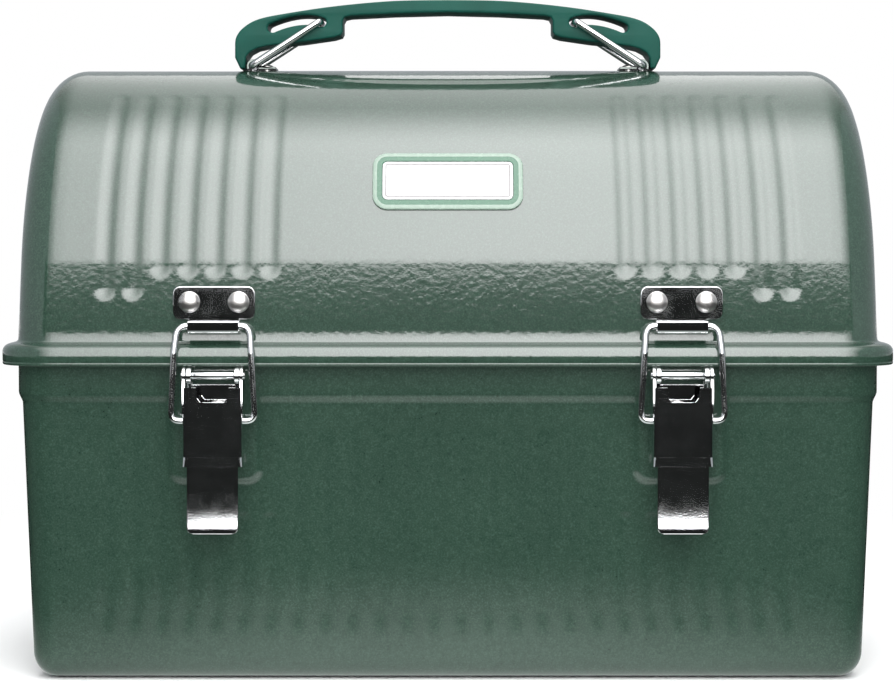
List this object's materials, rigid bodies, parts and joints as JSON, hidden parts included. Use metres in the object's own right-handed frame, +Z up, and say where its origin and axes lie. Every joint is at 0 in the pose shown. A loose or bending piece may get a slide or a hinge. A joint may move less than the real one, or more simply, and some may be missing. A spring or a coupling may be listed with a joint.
{
  "type": "lunch box",
  "caption": "Domed steel lunch box with a deep base, a hinged barrel-topped lid, wire draw latches and a lift-up carrying handle.",
  "frame": {"origin": "centre of the base's flat underside", "axes": "+Z up, +X along the length to the right seen from the latches, -Y towards the latches"},
  "size_m": [0.338, 0.1767, 0.2622],
  "materials": {
    "green_paint": "gloss hammertone enamel",
    "grip": "satin moulded",
    "chrome": "bright nickel plate",
    "rivet": "satin",
    "badge_white": "gloss",
    "badge_green": "gloss"
  },
  "bodies": {
    "base": {"base_shell": "green_paint", "latch_plate_left": "chrome", "latch_pin_left": "chrome", "hinge_base_leaf_left": "chrome", "hinge_pin_left": "chrome", "latch_plate_right": "chrome", "latch_pin_right": "chrome", "hinge_base_leaf_right": "chrome", "hinge_pin_right": "chrome", "latch_plate_rivet_left_1": "rivet", "latch_plate_rivet_left_2": "rivet", "hinge_base_rivet_left_1": "rivet", "hinge_base_rivet_left_2": "rivet", "latch_plate_rivet_right_1": "rivet", "latch_plate_rivet_right_2": "rivet", "hinge_base_rivet_right_1": "rivet", "hinge_base_rivet_right_2": "rivet"},
    "lid": {"lid_shell": "green_paint", "badge_frame": "badge_green", "badge_plate": "badge_white", "bottle_bail_catch": "chrome", "latch_keeper_left": "chrome", "hinge_lid_leaf_left": "chrome", "handle_bracket_left": "chrome", "bottle_bail_pivot_left": "chrome", "latch_keeper_right": "chrome", "hinge_lid_leaf_right": "chrome", "handle_bracket_right": "chrome", "bottle_bail_pivot_right": "chrome", "latch_keeper_rivet_left_1": "rivet", "latch_keeper_rivet_left_2": "rivet", "hinge_lid_rivet_left_1": "rivet", "hinge_lid_rivet_left_2": "rivet", "handle_bracket_rivet_left_1": "rivet", "handle_bracket_rivet_left_2": "rivet", "latch_keeper_rivet_right_1": "rivet", "latch_keeper_rivet_right_2": "rivet", "hinge_lid_rivet_right_1": "rivet", "hinge_lid_rivet_right_2": "rivet", "handle_bracket_rivet_right_1": "rivet", "handle_bracket_rivet_right_2": "rivet"},
    "handle": {"handle": "grip"},
    "strut_left": {"handle_strut_left": "chrome"},
    "lever_left": {"latch_lever_left": "chrome"},
    "loop_left": {"latch_loop_left": "chrome"},
    "strut_right": {"handle_strut_right": "chrome"},
    "lever_right": {"latch_lever_right": "chrome"},
    "loop_right": {"latch_loop_right": "chrome"},
    "bottle_bail": {"bottle_bail": "chrome"}
  },
  "joints": [
    {"name": "lid_hinge", "type": "hinge", "parent": "base", "child": "lid", "pos_m": [0, 0.0858, 0.1194], "axis": [-1, 0, 0], "range_deg": [0, 105]},
    {"name": "handle_lift", "type": "slide", "parent": "lid", "child": "handle", "axis": [0, 0, 1], "range_m": [0, 0.016]},
    {"name": "strut_left_pivot", "type": "hinge", "parent": "lid", "child": "strut_left", "pos_m": [-0.0779, 0, 0.2361], "axis": [0, -1, 0], "range_deg": [0, 43]},
    {"name": "strut_right_pivot", "type": "hinge", "parent": "lid", "child": "strut_right", "pos_m": [0.0779, 0, 0.2361], "axis": [0, 1, 0], "range_deg": [0, 43]},
    {"name": "lever_left_pivot", "type": "hinge", "parent": "base", "child": "lever_left", "pos_m": [-0.0873, -0.0825, 0.1162], "axis": [-1, 0, 0], "range_deg": [0, 54]},
    {"name": "loop_left_pivot", "type": "hinge", "parent": "lever_left", "child": "loop_left", "pos_m": [-0.0873, -0.0836, 0.0994], "axis": [-1, 0, 0], "range_deg": [-30, 0]},
    {"name": "lever_right_pivot", "type": "hinge", "parent": "base", "child": "lever_right", "pos_m": [0.0873, -0.0825, 0.1162], "axis": [-1, 0, 0], "range_deg": [0, 54]},
    {"name": "loop_right_pivot", "type": "hinge", "parent": "lever_right", "child": "loop_right", "pos_m": [0.0873, -0.0836, 0.0994], "axis": [-1, 0, 0], "range_deg": [-30, 0]},
    {"name": "bottle_bail_pivot", "type": "hinge", "parent": "lid", "child": "bottle_bail", "pos_m": [0, 0.0685, 0.1389], "axis": [1, 0, 0], "range_deg": [0, 75]}
  ],
  "couplings": [
    {"joint": "strut_left_pivot", "follows": "handle_lift", "rad_per_m": 46.566},
    {"joint": "strut_right_pivot", "follows": "handle_lift", "rad_per_m": 46.566},
    {"joint": "loop_left_pivot", "follows": "lever_left_pivot", "ratio": -0.55},
    {"joint": "loop_right_pivot", "follows": "lever_right_pivot", "ratio": -0.55}
  ]
}
